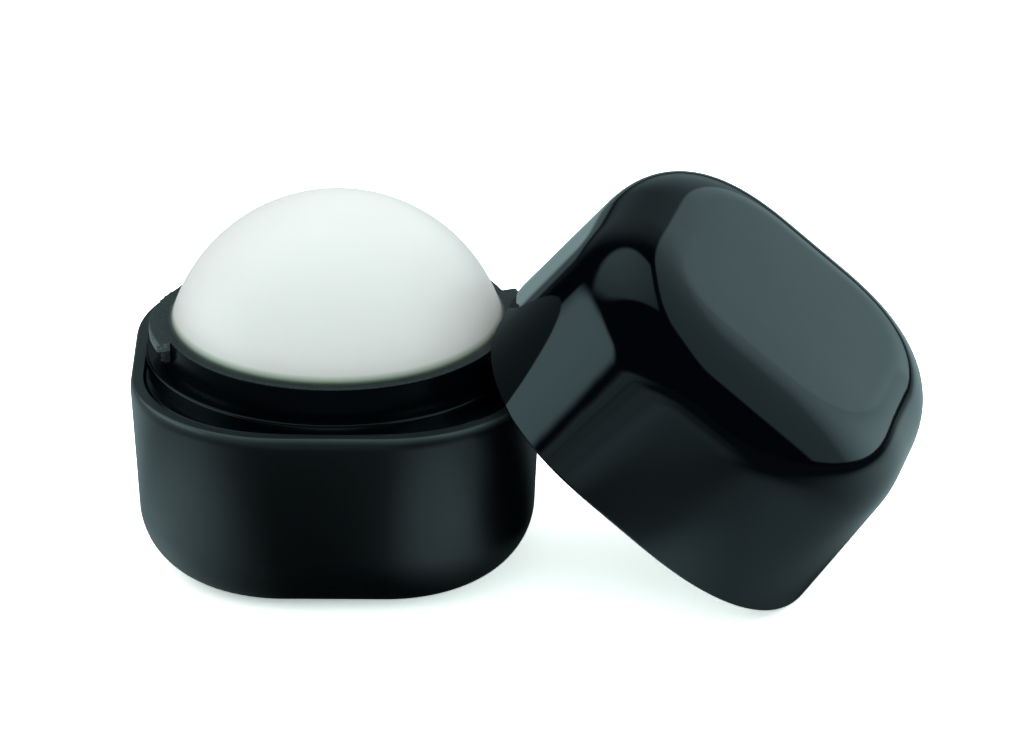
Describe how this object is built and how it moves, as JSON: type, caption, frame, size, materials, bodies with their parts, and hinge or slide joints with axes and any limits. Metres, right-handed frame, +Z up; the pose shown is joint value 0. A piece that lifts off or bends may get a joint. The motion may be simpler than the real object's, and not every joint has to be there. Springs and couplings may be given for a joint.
{
  "type": "lip balm pot",
  "caption": "Rounded-square lip balm pot with a white balm dome in a round bayonet collar, its hollow cap taken off and leaning against it.",
  "frame": {"origin": "centre of the pot's flat foot, on the table", "axes": "+Z up the pot's axis, +X towards the leaning cap, -Y to the front of the picture"},
  "size_m": [0.0679, 0.0394, 0.0328],
  "materials": {
    "case": "satin",
    "insert": "semi-gloss",
    "grid": "as moulded",
    "plug": "as moulded",
    "balm": "waxy",
    "cap": "polished",
    "liner": "satin"
  },
  "bodies": {
    "base": {"base_shell": "case", "inner_cup": "insert", "balm_grid": "grid", "fill_plug": "plug", "balm": "balm"},
    "cap": {"cap_shell": "cap", "cap_liner": "liner"}
  },
  "joints": [
    {"name": "cap_lift", "type": "slide", "parent": "base", "child": "cap", "axis": [0.608, -0.1348, 0.7824], "range_m": [0, 0.025]}
  ]
}
